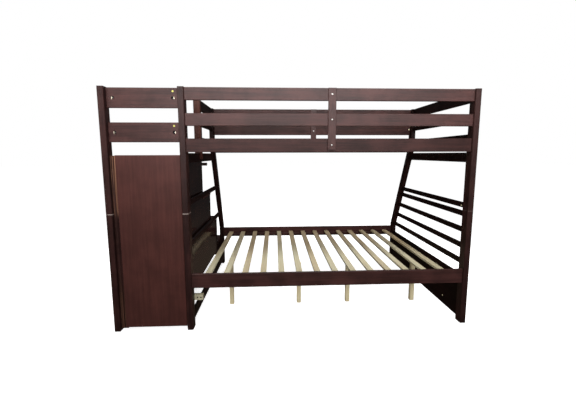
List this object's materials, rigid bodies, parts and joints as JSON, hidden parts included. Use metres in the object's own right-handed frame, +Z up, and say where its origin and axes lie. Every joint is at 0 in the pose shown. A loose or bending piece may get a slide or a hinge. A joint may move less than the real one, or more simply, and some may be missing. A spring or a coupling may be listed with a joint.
{
  "type": "bunk bed with storage stairs",
  "caption": "Dark stained wooden bunk bed, single over double, with slanted room-side posts, slatted decks, guard rails and a closed staircase with sliding drawers at one end.",
  "frame": {"origin": "on the floor, in the middle of the outline of bed and stairs", "axes": "+X along the bed, away from the stairs; +Y from the wall side to the room side, the way the drawers open; +Z up"},
  "size_m": [2.528, 1.55, 1.672],
  "materials": {
    "stained_wood": "dark espresso stain, satin lacquer",
    "veneer": "red-brown stained veneer, satin lacquer",
    "pine": "planed, bare",
    "drawer_wood": "bare board",
    "steel": "zinc plated",
    "brass": "yellow zinc plated"
  },
  "bodies": {
    "bed": {"barrel_nuts": "brass", "bolts": "steel", "drawer_runners": "pine", "entry_upright": "stained_wood", "left_cross_rail": "stained_wood", "left_end_bars": "stained_wood", "left_guard_bars": "stained_wood", "left_post_block": "pine", "left_stretcher": "stained_wood", "left_top_board": "stained_wood", "lower_slats": "pine", "post_pins": "steel", "right_cross_rail": "stained_wood", "right_end_bars": "stained_wood", "right_end_panel": "stained_wood", "right_guard_bars": "stained_wood", "right_top_board": "stained_wood", "room_centre_upright": "stained_wood", "room_left_post_lower": "stained_wood", "room_left_post_upper": "stained_wood", "room_lower_rail": "stained_wood", "room_middle_guard": "stained_wood", "room_right_post_lower": "stained_wood", "room_right_post_upper": "stained_wood", "room_top_guard": "stained_wood", "room_upper_rail": "stained_wood", "slat_battens": "stained_wood", "slat_legs": "pine", "stair_back_panel": "veneer", "stair_battens": "stained_wood", "stair_front_legs": "stained_wood", "stair_guards": "stained_wood", "stair_inner_sides": "veneer", "stair_landing": "stained_wood", "stair_outer_sides": "veneer", "stair_post_lower": "stained_wood", "stair_post_upper": "stained_wood", "stair_riser": "stained_wood", "stair_treads": "stained_wood", "upper_slats": "pine", "wall_centre_upright": "stained_wood", "wall_left_post_lower": "stained_wood", "wall_left_post_upper": "stained_wood", "wall_lower_rail": "stained_wood", "wall_middle_guard": "stained_wood", "wall_right_post_lower": "stained_wood", "wall_right_post_upper": "stained_wood", "wall_top_guard": "stained_wood", "wall_upper_rail": "stained_wood"},
    "drawer_1": {"drawer_1_box": "drawer_wood", "drawer_1_front": "stained_wood", "drawer_1_knob": "stained_wood"},
    "drawer_2": {"drawer_2_box": "drawer_wood", "drawer_2_front": "stained_wood", "drawer_2_knob": "stained_wood"},
    "drawer_3": {"drawer_3_box": "drawer_wood", "drawer_3_front": "stained_wood", "drawer_3_knob": "stained_wood"}
  },
  "joints": [
    {"name": "drawer_1_slide", "type": "slide", "parent": "bed", "child": "drawer_1", "axis": [0, 1, 0], "range_m": [0, 0.3]},
    {"name": "drawer_2_slide", "type": "slide", "parent": "bed", "child": "drawer_2", "axis": [0, 1, 0], "range_m": [0, 0.3]},
    {"name": "drawer_3_slide", "type": "slide", "parent": "bed", "child": "drawer_3", "axis": [0, 1, 0], "range_m": [0, 0.3]}
  ]
}
